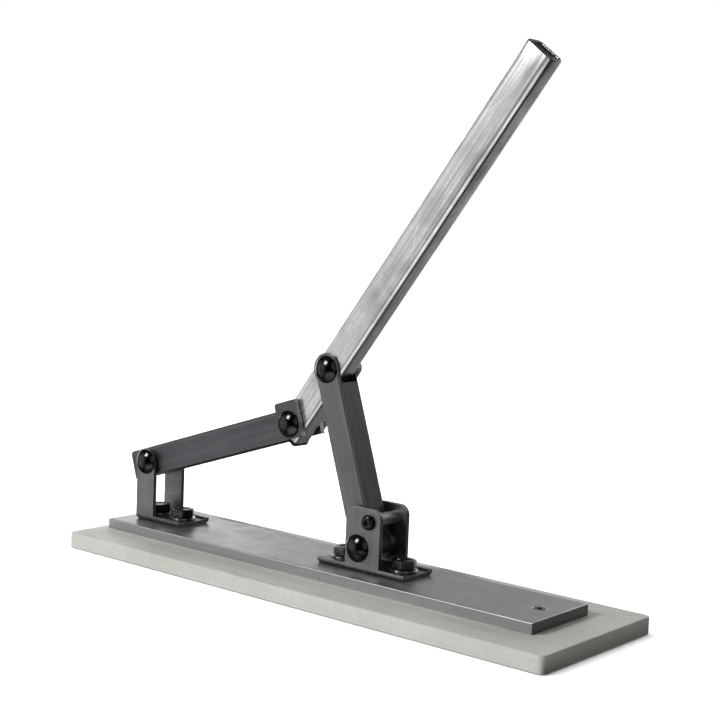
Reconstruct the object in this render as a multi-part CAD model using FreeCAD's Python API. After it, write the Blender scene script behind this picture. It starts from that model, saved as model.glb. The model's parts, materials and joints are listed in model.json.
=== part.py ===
import FreeCAD, Part
import math
import os

# Lever cracker on a board: a long white board with a metal plate on it, two U brackets on
# the plate, a channel arm hinged in the left bracket, a channel link hinged in the right
# bracket, and a long tube handle bolted through the tip of the arm and the top of the link.
# Units are mm.  X runs along the board from the arm's hinge to the open end, Y from the
# near side to the far side, Z is up.  Origin: bottom centre of the board.

V = FreeCAD.Vector
UP = V(0, 0, 1)
DEPTH = V(0, 1, 0)

# ---------------------------------------------------------------- driving dimensions
BOARD_LENGTH = 360.0
BOARD_WIDTH = 108.0
BOARD_THICK = 10.0
BOARD_CORNER = 4.0
BOARD_EDGE = 1.0

PLATE_LEFT = -172.0
PLATE_RIGHT = 155.5
PLATE_WIDTH = 55.0
PLATE_THICK = 6.35
PLATE_EDGE = 0.6
PLATE_SCREW_LEFT = 5.2
PLATE_SCREW_RIGHT = 13.0
SCREW_SHANK_R = 2.0
SCREW_HEAD_R = 4.0
SCREW_HEAD_DEPTH = 2.2
SCREW_LENGTH = 13.5
SCREW_SOCKET_R = 1.5
SCREW_SOCKET_DEPTH = 1.2
SCREW_CLEAR = 0.05

# hinge points in the X-Z plane
ARM_HINGE = (-153.5, 55.0)
LINK_TOP = (-6.5, 129.5)
LINK_FOOT = (26.5, 30.0)
HANDLE_ANGLE = 53.2
HANDLE_PITCH = 44.0

HANDLE_WIDTH = 19.05
HANDLE_DEPTH = 13.5
HANDLE_WALL = 2.4
HANDLE_EDGE = 2.2
HANDLE_INNER_EDGE = 0.4
HANDLE_LOWER_END = 8.5
HANDLE_UPPER_END = 224.0
HANDLE_END_ROUND = 0.8
PLUG_HEAD = 2.5
PLUG_STEM = 10.0
PLUG_CLEAR = 0.05
PLUG_RECESS = 0.5
PLUG_ROUND = 0.6
LOWER_PLUG_STEM = 1.5
BUSH_WALL = 1.6
LINK_PLAY = 1.65
LINK_BUSH_WALL = 1.0

SIDE_GAP = 0.4
ARM_WALL = 3.2
ARM_HEIGHT = 18.0
ARM_HEEL = 16.0
ARM_NOSE = 8.5
ARM_EAR_RISE = 4.5
ARM_EAR_BACK = 8.5
ARM_MOUTH_BACK = 12.0
ARM_BEND = 2.5
ARM_INNER_BEND = 0.5

LINK_WALL = 1.3
LINK_WIDTH = 16.5
LINK_HEAD_R = 9.5
LINK_TAIL_R = 9.0
LINK_WEB_TOP = 10.0
LINK_WEB_BOTTOM = 5.0
LINK_BEND = 2.5
LINK_INNER_BEND = 0.5

BRACKET_WALL = 2.5
BRACKET_GAP = 0.65
SPACER_PLAY = 0.4
SPACER_R = 7.0
BRACKET_BEND = 3.0
BRACKET_INNER_BEND = 1.0
ARM_BRACKET_EAR = 16.0
ARM_BRACKET_LEFT = 8.0
ARM_BRACKET_RIGHT = 32.0
ARM_BRACKET_BOLTS = (0.0, 22.0)
LINK_BRACKET_LEFT = 30.0
LINK_BRACKET_RIGHT = 34.0
LINK_BRACKET_BOLTS = (-20.0, 24.0)
LINK_EAR_LEFT = 9.0
LINK_EAR_RIGHT = 16.0
LINK_EAR_RISE = 24.0
LINK_EAR_CORNER = 6.0

STOP_SLEEVE_R = 4.0
STOP_BORE_R = 2.6
STOP_BOLT_R = 2.5
STOP_UP = 13.0
STOP_GAP = 0.35
STOP_HEAD_R = 4.5
STOP_HEAD_H = 2.8
STOP_NUT_AF = 8.0
STOP_NUT_H = 4.7

BOLT_R = 4.0
RUN_CLEAR = 0.05
DOME_R = 8.0
DOME_H = 4.0
DOME_RIM = 0.8
NUT_AF = 13.0
NUT_H = 8.0
BOLT_TAIL = 2.0
WASHER_R = 8.0
WASHER_T = 1.6
SLEEVE_R = 5.2

LAG_AF = 13.0
LAG_HEAD_H = 5.3
LAG_SHANK_R = 4.0
LAG_LENGTH = 16.0
LAG_WASHER_R = 8.0

# ---------------------------------------------------------------- derived sizes
PLATE_TOP = BOARD_THICK + PLATE_THICK
FLOOR_TOP = PLATE_TOP + BRACKET_WALL
CHANNEL_INNER = HANDLE_DEPTH / 2 + SIDE_GAP
ARM_OUTER = CHANNEL_INNER + ARM_WALL
LINK_OUTER = CHANNEL_INNER + LINK_WALL
BRACKET_INNER = ARM_OUTER + BRACKET_GAP
BRACKET_OUTER = BRACKET_INNER + BRACKET_WALL
HANDLE_RAD = math.radians(HANDLE_ANGLE)
ARM_TIP = (LINK_TOP[0] - HANDLE_PITCH * math.cos(HANDLE_RAD),
           LINK_TOP[1] - HANDLE_PITCH * math.sin(HANDLE_RAD))
ARM_LENGTH = math.hypot(ARM_TIP[0] - ARM_HINGE[0], ARM_TIP[1] - ARM_HINGE[1])
ARM_ANGLE = math.degrees(math.atan2(ARM_TIP[1] - ARM_HINGE[1], ARM_TIP[0] - ARM_HINGE[0]))
LINK_LENGTH = math.hypot(LINK_TOP[0] - LINK_FOOT[0], LINK_TOP[1] - LINK_FOOT[1])
LINK_ANGLE = math.degrees(math.atan2(LINK_TOP[1] - LINK_FOOT[1], LINK_TOP[0] - LINK_FOOT[0]))


# ---------------------------------------------------------------- helpers
def box(x0, x1, y0, y1, z0, z1):
    """Block between two corners."""
    return Part.makeBox(x1 - x0, y1 - y0, z1 - z0, V(x0, y0, z0))


def rod(x, z, y0, y1, radius):
    """Round bar along Y."""
    return Part.makeCylinder(radius, y1 - y0, V(x, y0, z), DEPTH)


def post(x, y, z0, z1, radius):
    """Round bar along Z."""
    return Part.makeCylinder(radius, z1 - z0, V(x, y, z0), UP)


def round_edges(shape, radius, keep):
    """Fillet the straight edges that keep(start, end) accepts."""
    picked = []
    for edge in shape.Edges:
        if len(edge.Vertexes) == 2 and keep(edge.Vertexes[0].Point, edge.Vertexes[1].Point):
            picked.append(edge)
    return shape.makeFillet(radius, picked)


def along(axis):
    """Test for edges that run along one axis, given as 0, 1 or 2."""
    def check(start, end):
        step = end - start
        return abs(step[axis]) > 0.999 * step.Length
    return check


def swing(shape, angle, point):
    """Tilt a shape built along +X up by angle about Y and set its origin on a hinge point."""
    shape = shape.copy()
    shape.rotate(V(0, 0, 0), DEPTH, -angle)
    shape.translate(V(point[0], 0, point[1]))
    return shape


def hexagon(af, axis_point, start, end, axis):
    """Hexagonal prism, af across flats, from start to end along Y or Z."""
    radius = af / math.sqrt(3)
    corners = []
    for k in range(7):
        turn = math.radians(60 * k)
        side = radius * math.cos(turn)
        rise = radius * math.sin(turn)
        if axis == "y":
            corners.append(V(axis_point[0] + side, start, axis_point[1] + rise))
        else:
            corners.append(V(axis_point[0] + side, axis_point[1] + rise, start))
    face = Part.Face(Part.makePolygon(corners))
    direction = DEPTH if axis == "y" else UP
    return face.extrude(direction * (end - start))


def dome_bolt(x, z, y_head, y_end):
    """Low round-headed bolt along Y: its head sits on the near side of y_head."""
    rim = rod(x, z, y_head - DOME_RIM, y_head, DOME_R)
    rise = DOME_H - DOME_RIM
    ball_r = (DOME_R ** 2 + rise ** 2) / (2 * rise)
    ball = Part.makeSphere(ball_r, V(x, y_head - DOME_H + ball_r, z))
    cap = ball.common(rod(x, z, y_head - DOME_H - 0.5, y_head - DOME_RIM, DOME_R))
    shank = rod(x, z, y_head, y_end, BOLT_R)
    tip_edges = [e for e in shank.Edges if len(e.Vertexes) == 1 and e.Vertexes[0].Point.y > y_end - 0.01]
    shank = shank.makeChamfer(0.8, tip_edges)
    return rim.fuse([cap, shank]).removeSplitter()


def lock_nut(x, z, y0, af, height, bore_r):
    """Hexagon lock nut along Y with a smaller round collar at its far end."""
    body_end = y0 + height * 0.72
    body = hexagon(af, (x, z), y0, body_end, "y")
    guard = Part.makeCone(af / 2 * 1.28, af / 2 * 0.98, height * 0.72, V(x, y0, z), DEPTH)
    body = body.common(guard)
    collar = rod(x, z, body_end, y0 + height, af * 0.43)
    nut = body.fuse(collar)
    return nut.cut(rod(x, z, y0 - 1, y0 + height + 1, bore_r)).removeSplitter()


def washer(x, z, y0, thick, outer, bore_r):
    """Flat washer along Y."""
    ring = rod(x, z, y0, y0 + thick, outer)
    return ring.cut(rod(x, z, y0 - 1, y0 + thick + 1, bore_r))


def tube(x, z, y0, y1, outer, inner):
    """Round sleeve along Y."""
    return rod(x, z, y0, y1, outer).cut(rod(x, z, y0 - 1, y1 + 1, inner))


def save(name, shapes):
    """Write one node; a list becomes a group of separate solids."""
    shapes = shapes if isinstance(shapes, list) else [shapes]
    solids = []
    for shape in shapes:
        solids.extend(shape.Solids)
    for solid in solids:
        if not solid.isValid() or solid.Volume <= 0:
            raise ValueError("bad solid in " + name)
    result = solids[0] if len(solids) == 1 else Part.makeCompound(solids)
    result.exportStep("parts/" + name + ".step")
    print(name, len(solids), round(sum(s.Volume for s in solids), 1))


# ---------------------------------------------------------------- board and plate
def lag_points():
    """X positions of the bracket bolts, all on the centre line."""
    left = [ARM_HINGE[0] + dx for dx in ARM_BRACKET_BOLTS]
    right = [LINK_FOOT[0] + dx for dx in LINK_BRACKET_BOLTS]
    return left + right


def plate_screw_points():
    """X positions of the two countersunk screws at the ends of the plate."""
    return [PLATE_LEFT + PLATE_SCREW_LEFT, PLATE_RIGHT - PLATE_SCREW_RIGHT]


def make_board():
    half_l = BOARD_LENGTH / 2
    half_w = BOARD_WIDTH / 2
    board = box(-half_l, half_l, -half_w, half_w, 0, BOARD_THICK)
    board = round_edges(board, BOARD_CORNER, along(2))
    rim = [e for e in board.Edges if abs(e.BoundBox.ZMax - e.BoundBox.ZMin) < 1e-6]
    board = board.makeFillet(BOARD_EDGE, rim)
    for x in lag_points():
        depth = FLOOR_TOP - LAG_LENGTH - 0.5
        board = board.cut(post(x, 0, depth, BOARD_THICK + 1, LAG_SHANK_R + RUN_CLEAR))
    for x in plate_screw_points():
        depth = PLATE_TOP - SCREW_LENGTH - 0.5
        board = board.cut(post(x, 0, depth, BOARD_THICK + 1, SCREW_SHANK_R + SCREW_CLEAR))
    return board


def countersink(x, grow):
    """Screw shape along Z with its flat head level with the plate top, grown all round."""
    head = Part.makeCone(SCREW_SHANK_R + grow, SCREW_HEAD_R + grow, SCREW_HEAD_DEPTH,
                         V(x, 0, PLATE_TOP - SCREW_HEAD_DEPTH - 0.1), UP)
    rim = post(x, 0, PLATE_TOP - 0.1, PLATE_TOP + (1.0 if grow else 0.0), SCREW_HEAD_R + grow)
    shank = post(x, 0, PLATE_TOP - SCREW_LENGTH, PLATE_TOP - SCREW_HEAD_DEPTH - 0.1,
                 SCREW_SHANK_R + grow)
    return head.fuse([rim, shank]).removeSplitter()


def make_plate():
    half_w = PLATE_WIDTH / 2
    plate = box(PLATE_LEFT, PLATE_RIGHT, -half_w, half_w, BOARD_THICK, PLATE_TOP)
    top = [e for e in plate.Edges if e.BoundBox.ZMin > PLATE_TOP - 1e-6]
    plate = plate.makeFillet(PLATE_EDGE, top)
    for x in lag_points():
        plate = plate.cut(post(x, 0, 0, PLATE_TOP + 1, LAG_SHANK_R + RUN_CLEAR))
    for x in plate_screw_points():
        plate = plate.cut(countersink(x, SCREW_CLEAR))
    return plate


def make_plate_screws():
    screws = []
    for x in plate_screw_points():
        screw = countersink(x, 0.0)
        socket = hexagon(2 * SCREW_SOCKET_R, (x, 0), PLATE_TOP - SCREW_SOCKET_DEPTH,
                         PLATE_TOP + 1, "z")
        screws.append(screw.cut(socket))
    return screws


# ---------------------------------------------------------------- brackets
def u_bracket(left, right):
    """Floor and two full-length walls of a bent U strip, before its ears are cut out."""
    top = PLATE_TOP + 80
    outer = box(left, right, -BRACKET_OUTER, BRACKET_OUTER, PLATE_TOP, top)
    outer = round_edges(outer, BRACKET_BEND,
                        lambda a, b: along(0)(a, b) and a.z < PLATE_TOP + 1)
    inner = box(left - 1, right + 1, -BRACKET_INNER, BRACKET_INNER, FLOOR_TOP, top + 1)
    inner = round_edges(inner, BRACKET_INNER_BEND,
                        lambda a, b: along(0)(a, b) and a.z < FLOOR_TOP + 1)
    return outer.cut(inner)


def drop_bolt_holes(shape, points):
    for x in points:
        shape = shape.cut(post(x, 0, PLATE_TOP - 1, FLOOR_TOP + 1, LAG_SHANK_R + RUN_CLEAR))
    return shape


def make_arm_bracket():
    x, z = ARM_HINGE
    strip = u_bracket(x - ARM_BRACKET_LEFT, x + ARM_BRACKET_RIGHT)
    half = ARM_BRACKET_EAR / 2
    ear = box(x - half, x + half, -40, 40, PLATE_TOP - 1, z).fuse(rod(x, z, -40, 40, half))
    floor = box(x - 100, x + 100, -40, 40, PLATE_TOP - 1, FLOOR_TOP + BRACKET_INNER_BEND)
    strip = strip.common(ear.fuse(floor)).removeSplitter()
    strip = drop_bolt_holes(strip, [x + dx for dx in ARM_BRACKET_BOLTS])
    return strip.cut(rod(x, z, -40, 40, BOLT_R + RUN_CLEAR))


def stop_point():
    """Axis of the stop: the back of the open link leans on its sleeve."""
    turn = math.radians(LINK_ANGLE)
    up = (math.cos(turn), math.sin(turn))
    back = (up[1], -up[0])
    off = LINK_WIDTH / 2 + STOP_SLEEVE_R + STOP_GAP
    return (LINK_FOOT[0] + back[0] * off + up[0] * STOP_UP,
            LINK_FOOT[1] + back[1] * off + up[1] * STOP_UP)


def make_link_bracket():
    x, z = LINK_FOOT
    strip = u_bracket(x - LINK_BRACKET_LEFT, x + LINK_BRACKET_RIGHT)
    ear = box(x - LINK_EAR_LEFT, x + LINK_EAR_RIGHT, -40, 40, PLATE_TOP - 1, z + LINK_EAR_RISE)
    ear = round_edges(ear, LINK_EAR_CORNER, lambda a, b: along(1)(a, b) and a.z > z)
    floor = box(x - 100, x + 100, -40, 40, PLATE_TOP - 1, FLOOR_TOP + BRACKET_INNER_BEND)
    strip = strip.common(ear.fuse(floor)).removeSplitter()
    strip = drop_bolt_holes(strip, [x + dx for dx in LINK_BRACKET_BOLTS])
    strip = strip.cut(rod(x, z, -40, 40, BOLT_R + RUN_CLEAR))
    sx, sz = stop_point()
    return strip.cut(rod(sx, sz, -40, 40, STOP_BOLT_R + RUN_CLEAR))


def make_bracket_bolts():
    bolts = []
    base = FLOOR_TOP + WASHER_T
    for x in lag_points():
        head = hexagon(LAG_AF, (x, 0), base, base + LAG_HEAD_H, "z")
        guard = Part.makeCone(LAG_AF / 2 * 1.3, LAG_AF / 2 * 0.98, LAG_HEAD_H, V(x, 0, base), UP)
        head = head.common(guard)
        shank = post(x, 0, FLOOR_TOP - LAG_LENGTH, base, LAG_SHANK_R)
        bolts.append(head.fuse(shank).removeSplitter())
    return bolts


def make_bracket_washers():
    rings = []
    for x in lag_points():
        ring = post(x, 0, FLOOR_TOP, FLOOR_TOP + WASHER_T, LAG_WASHER_R)
        rings.append(ring.cut(post(x, 0, FLOOR_TOP - 1, FLOOR_TOP + 4, LAG_SHANK_R + RUN_CLEAR)))
    return rings


def make_pivot_set(points, half_grip):
    """Round-headed bolts, washers and lock nuts through a pair of walls at each point."""
    bolts = []
    rings = []
    nuts = []
    for x, z in points:
        nut_start = half_grip + WASHER_T
        tail = nut_start + NUT_H + BOLT_TAIL
        bolts.append(dome_bolt(x, z, -half_grip, tail))
        rings.append(washer(x, z, half_grip, WASHER_T, WASHER_R, BOLT_R + RUN_CLEAR))
        nuts.append(lock_nut(x, z, nut_start, NUT_AF, NUT_H, BOLT_R + RUN_CLEAR))
    return bolts, rings, nuts


def make_spacers():
    """Washers inside the ears that centre the link on its foot hinge bolt."""
    x, z = LINK_FOOT
    thick = BRACKET_INNER - LINK_OUTER - SPACER_PLAY
    rings = []
    for y0 in (-BRACKET_INNER, BRACKET_INNER - thick):
        rings.append(washer(x, z, y0, thick, SPACER_R, BOLT_R + RUN_CLEAR))
    return rings


def make_stop():
    x, z = stop_point()
    head = rod(x, z, -BRACKET_OUTER - STOP_HEAD_H, -BRACKET_OUTER, STOP_HEAD_R)
    rim = [e for e in head.Edges if e.BoundBox.YMax < -BRACKET_OUTER - STOP_HEAD_H + 0.01]
    head = head.makeFillet(1.6, rim)
    shank = rod(x, z, -BRACKET_OUTER, BRACKET_OUTER + STOP_NUT_H + 1.2, STOP_BOLT_R)
    bolt = head.fuse(shank).removeSplitter()
    sleeve = tube(x, z, -BRACKET_INNER + 0.05, BRACKET_INNER - 0.05, STOP_SLEEVE_R, STOP_BORE_R)
    nut = lock_nut(x, z, BRACKET_OUTER, STOP_NUT_AF, STOP_NUT_H, STOP_BOLT_R + RUN_CLEAR)
    return bolt, sleeve, nut


# ---------------------------------------------------------------- arm
def make_arm():
    """Channel along +X with its web on top; the web is cut away at the tip for the handle."""
    half_h = ARM_HEIGHT / 2
    end = ARM_LENGTH + ARM_NOSE
    mouth = ARM_LENGTH - ARM_MOUTH_BACK
    ear_start = ARM_LENGTH - ARM_EAR_BACK
    ear_top = half_h + ARM_EAR_RISE
    body = box(-ARM_HEEL, end, -ARM_OUTER, ARM_OUTER, -half_h, half_h)
    body = round_edges(body, ARM_BEND, lambda a, b: along(0)(a, b) and a.z > 0)
    ears = box(ear_start, end, -ARM_OUTER, ARM_OUTER, -half_h, ear_top)
    ears = round_edges(ears, 1.5, lambda a, b: along(1)(a, b) and a.z > half_h)
    body = body.fuse(ears)
    hollow = box(-ARM_HEEL - 1, end + 1, -CHANNEL_INNER, CHANNEL_INNER, -half_h - 1,
                 half_h - ARM_WALL)
    hollow = round_edges(hollow, ARM_INNER_BEND, lambda a, b: along(0)(a, b) and a.z > 0)
    body = body.cut(hollow)
    body = body.cut(box(mouth, end + 1, -CHANNEL_INNER, CHANNEL_INNER, -half_h, ear_top + 1))
    body = body.cut(rod(0, 0, -40, 40, BOLT_R + RUN_CLEAR))
    body = body.cut(rod(ARM_LENGTH, 0, -40, 40, BOLT_R + RUN_CLEAR))
    return body.removeSplitter()


def make_arm_sleeve():
    """Spacer sleeve between the arm walls on the arm hinge bolt."""
    return tube(0, 0, -CHANNEL_INNER, CHANNEL_INNER, SLEEVE_R, BOLT_R + RUN_CLEAR)


# ---------------------------------------------------------------- handle
def handle_bar(half_w, half_d, start, end, edge):
    bar = box(start, end, -half_d, half_d, -half_w, half_w)
    return round_edges(bar, edge, along(0))


def rim_at(shape, x):
    """Edges that lie in the plane at one station along X."""
    return [e for e in shape.Edges if abs(e.BoundBox.XMin - x) < 0.01 and abs(e.BoundBox.XMax - x) < 0.01]


def make_handle_tube():
    """Rectangular tube along +X; its origin is the hinge on the arm's tip."""
    start = -HANDLE_LOWER_END
    end = HANDLE_PITCH + HANDLE_UPPER_END
    outer = handle_bar(HANDLE_WIDTH / 2, HANDLE_DEPTH / 2, start, end, HANDLE_EDGE)
    outer = outer.makeFillet(HANDLE_END_ROUND, rim_at(outer, end))
    inner = handle_bar(HANDLE_WIDTH / 2 - HANDLE_WALL, HANDLE_DEPTH / 2 - HANDLE_WALL,
                       start - 1, end + 1, HANDLE_INNER_EDGE)
    shell = outer.cut(inner)
    shell = shell.cut(rod(0, 0, -40, 40, BOLT_R + RUN_CLEAR))
    return shell.cut(rod(HANDLE_PITCH, 0, -40, 40, BOLT_R + LINK_PLAY))


def plug_core(start, end):
    """Plastic block that fills the tube's bore between two stations."""
    grip = HANDLE_WALL + PLUG_CLEAR
    return handle_bar(HANDLE_WIDTH / 2 - grip, HANDLE_DEPTH / 2 - grip, start, end, HANDLE_INNER_EDGE)


def make_end_plug():
    """Insert in the grip end of the tube, a little below the tube's rim."""
    face = HANDLE_PITCH + HANDLE_UPPER_END - PLUG_RECESS
    core = plug_core(face - PLUG_STEM, face)
    return core.makeFillet(PLUG_ROUND, rim_at(core, face))


def make_lower_plug():
    """Cap on the lower end of the tube with a short stem inside it."""
    end = -HANDLE_LOWER_END
    head = handle_bar(HANDLE_WIDTH / 2, HANDLE_DEPTH / 2, end - PLUG_HEAD, end, HANDLE_EDGE)
    head = head.makeFillet(1.2, rim_at(head, end - PLUG_HEAD))
    return head.fuse(plug_core(end, end + LOWER_PLUG_STEM)).removeSplitter()


def make_bush(x, bore_r, outer_r):
    """Sleeve between the two broad walls of the handle tube."""
    half = HANDLE_DEPTH / 2 - HANDLE_WALL
    return tube(x, 0, -half, half, outer_r, bore_r)


# ---------------------------------------------------------------- link
def make_link():
    """Channel along +X from its foot hinge; its web is the back, on the -Z side."""
    half = LINK_WIDTH / 2
    web_0 = -LINK_WEB_BOTTOM
    web_1 = LINK_LENGTH - LINK_WEB_TOP
    flanges = box(0, LINK_LENGTH, -LINK_OUTER, LINK_OUTER, -half, half)
    head = rod(LINK_LENGTH, 0, -LINK_OUTER, LINK_OUTER, LINK_HEAD_R)
    tail = rod(0, 0, -LINK_OUTER, LINK_OUTER, LINK_TAIL_R)
    body = flanges.fuse([head, tail]).removeSplitter()
    inner = box(-40, LINK_LENGTH + 40, -CHANNEL_INNER, CHANNEL_INNER,
                -half + LINK_WALL, half + 5)
    inner = round_edges(inner, LINK_INNER_BEND, lambda a, b: along(0)(a, b) and a.z < 0)
    body = body.cut(inner)
    for x0, x1 in ((-40, web_0), (web_1, LINK_LENGTH + 40)):
        body = body.cut(box(x0, x1, -CHANNEL_INNER, CHANNEL_INNER, -half - 5, half + 5))
    shell = box(-40, LINK_LENGTH + 40, -LINK_OUTER, LINK_OUTER, -half - 0.5, 40)
    shell = round_edges(shell, LINK_BEND, lambda a, b: along(0)(a, b) and a.z < 0)
    body = body.common(shell)
    body = body.cut(rod(0, 0, -40, 40, BOLT_R + RUN_CLEAR))
    body = body.cut(rod(LINK_LENGTH, 0, -40, 40, BOLT_R + RUN_CLEAR))
    return body.removeSplitter()


def make_link_sleeve():
    """Spacer sleeve between the link walls on the foot hinge bolt."""
    outer = LINK_WIDTH / 2 - LINK_WALL - LINK_INNER_BEND - 0.2
    return tube(0, 0, -CHANNEL_INNER, CHANNEL_INNER, outer, BOLT_R + RUN_CLEAR)


# ---------------------------------------------------------------- write the nodes
os.makedirs("parts", exist_ok=True)

save("base_board", make_board())
save("base_plate", make_plate())
save("base_plate_screws", make_plate_screws())
save("arm_bracket", make_arm_bracket())
save("link_bracket", make_link_bracket())
save("bracket_bolts", make_bracket_bolts())
save("bracket_washers", make_bracket_washers())

ground = make_pivot_set([ARM_HINGE, LINK_FOOT], BRACKET_OUTER)
save("bracket_pivot_bolts", ground[0])
save("bracket_pivot_washers", ground[1])
save("bracket_pivot_nuts", ground[2])

save("bracket_spacers", make_spacers())

stop = make_stop()
save("stop_bolt", stop[0])
save("stop_sleeve", stop[1])
save("stop_nut", stop[2])

save("arm_channel", swing(make_arm(), ARM_ANGLE, ARM_HINGE))
save("arm_hinge_sleeve", swing(make_arm_sleeve(), ARM_ANGLE, ARM_HINGE))
tip = make_pivot_set([ARM_TIP], ARM_OUTER)
save("arm_tip_bolt", tip[0])
save("arm_tip_washer", tip[1])
save("arm_tip_nut", tip[2])

save("handle_tube", swing(make_handle_tube(), HANDLE_ANGLE, ARM_TIP))
save("handle_end_plug", swing(make_end_plug(), HANDLE_ANGLE, ARM_TIP))
save("handle_lower_plug", swing(make_lower_plug(), HANDLE_ANGLE, ARM_TIP))
lower_bush = make_bush(0, BOLT_R + RUN_CLEAR, BOLT_R + BUSH_WALL)
save("handle_lower_bush", swing(lower_bush, HANDLE_ANGLE, ARM_TIP))
upper_bush = make_bush(HANDLE_PITCH, BOLT_R + LINK_PLAY, BOLT_R + LINK_PLAY + LINK_BUSH_WALL)
save("handle_upper_bush", swing(upper_bush, HANDLE_ANGLE, ARM_TIP))

save("link_channel", swing(make_link(), LINK_ANGLE, LINK_FOOT))
save("link_foot_sleeve", swing(make_link_sleeve(), LINK_ANGLE, LINK_FOOT))
top = make_pivot_set([LINK_TOP], LINK_OUTER)
save("link_top_bolt", top[0])
save("link_top_washer", top[1])
save("link_top_nut", top[2])
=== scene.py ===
import json
import math

import bmesh
import bpy
from mathutils import Matrix, Vector


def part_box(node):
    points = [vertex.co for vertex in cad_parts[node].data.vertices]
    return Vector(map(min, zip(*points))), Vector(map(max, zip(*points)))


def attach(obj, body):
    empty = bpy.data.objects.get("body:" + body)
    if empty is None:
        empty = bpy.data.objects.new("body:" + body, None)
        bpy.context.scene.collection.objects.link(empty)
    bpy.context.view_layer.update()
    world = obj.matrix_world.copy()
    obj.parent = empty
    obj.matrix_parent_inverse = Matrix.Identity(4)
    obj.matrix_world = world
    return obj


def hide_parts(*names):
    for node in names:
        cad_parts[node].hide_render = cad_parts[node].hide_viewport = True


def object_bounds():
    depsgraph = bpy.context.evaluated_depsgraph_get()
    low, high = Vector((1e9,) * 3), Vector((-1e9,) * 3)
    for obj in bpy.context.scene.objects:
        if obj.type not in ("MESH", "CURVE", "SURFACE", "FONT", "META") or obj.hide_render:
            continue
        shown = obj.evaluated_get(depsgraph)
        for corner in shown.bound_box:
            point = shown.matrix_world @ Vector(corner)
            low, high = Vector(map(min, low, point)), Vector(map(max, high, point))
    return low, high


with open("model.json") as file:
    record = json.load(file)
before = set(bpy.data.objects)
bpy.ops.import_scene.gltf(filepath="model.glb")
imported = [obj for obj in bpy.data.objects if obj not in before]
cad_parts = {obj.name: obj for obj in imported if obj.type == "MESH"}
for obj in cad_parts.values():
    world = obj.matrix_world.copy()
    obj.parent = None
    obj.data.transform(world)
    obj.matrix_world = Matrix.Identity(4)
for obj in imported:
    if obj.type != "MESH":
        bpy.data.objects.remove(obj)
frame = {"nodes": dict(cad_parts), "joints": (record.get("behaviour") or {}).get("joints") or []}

# Lever cracker: looks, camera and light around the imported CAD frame.  Metres, Z up.

CAD_BOX = [list(corner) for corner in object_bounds()]
NODES = frame["nodes"]
PIVOT = {joint["name"]: Vector(joint["pos_m"]) for joint in frame["joints"]}
MM = 0.001

# machine-screw threads: shank radius, pitch, depth, and the bore of a washer or nut round it
M8_SHANK = 3.97 * MM
M8_PITCH = 1.25 * MM
M8_THREAD = 0.55 * MM
M8_WASHER_BORE = 4.1 * MM
M8_NUT_BORE = 4.08 * MM
M5_SHANK = 2.47 * MM
M5_PITCH = 0.8 * MM
M5_THREAD = 0.35 * MM
M5_NUT_BORE = 2.58 * MM
SOCKET_HALF = 1.5 * MM


# ------------------------------------------------------------------ places read from the frame
def middle(node):
    low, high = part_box(node)
    return (low + high) / 2


def bearing(start, end):
    """Tilt of a member above +X, in radians."""
    return math.atan2(end.z - start.z, end.x - start.x)


ARM_TIP = PIVOT["handle_hinge"]
LINK_TOP = middle("link_top_washer")
ARM_TILT = bearing(PIVOT["arm_hinge"], ARM_TIP)
HANDLE_TILT = bearing(ARM_TIP, LINK_TOP)
LINK_TILT = bearing(PIVOT["link_hinge"], LINK_TOP)


def along_x(origin, tilt):
    """Frame whose +X runs along a member and whose +Y stays the object's +Y."""
    return Matrix.Translation(origin) @ Matrix.Rotation(-tilt, 4, "Y")


def turned_on_y(x, y, z, far=True):
    """Frame whose +Z points away from the near side (or towards it) at a point."""
    angle = -math.pi / 2 if far else math.pi / 2
    return Matrix.Translation((x, y, z)) @ Matrix.Rotation(angle, 4, "X")


def groups(node, gap=4 * MM):
    """Boxes of the separate solids of a node that stand in a row along X."""
    points = sorted((v.co.copy() for v in NODES[node].data.vertices), key=lambda p: p.x)
    rows = [[points[0]]]
    for point in points[1:]:
        if point.x - rows[-1][-1].x > gap:
            rows.append([])
        rows[-1].append(point)
    boxes = []
    for row in rows:
        low = Vector([min(p[i] for p in row) for i in range(3)])
        high = Vector([max(p[i] for p in row) for i in range(3)])
        boxes.append((low, high))
    return boxes


def extent(node, matrix):
    """Box of a node in a member's own frame."""
    back = matrix.inverted()
    points = [back @ v.co for v in NODES[node].data.vertices]
    low = Vector([min(p[i] for p in points) for i in range(3)])
    high = Vector([max(p[i] for p in points) for i in range(3)])
    return low, high


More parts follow.
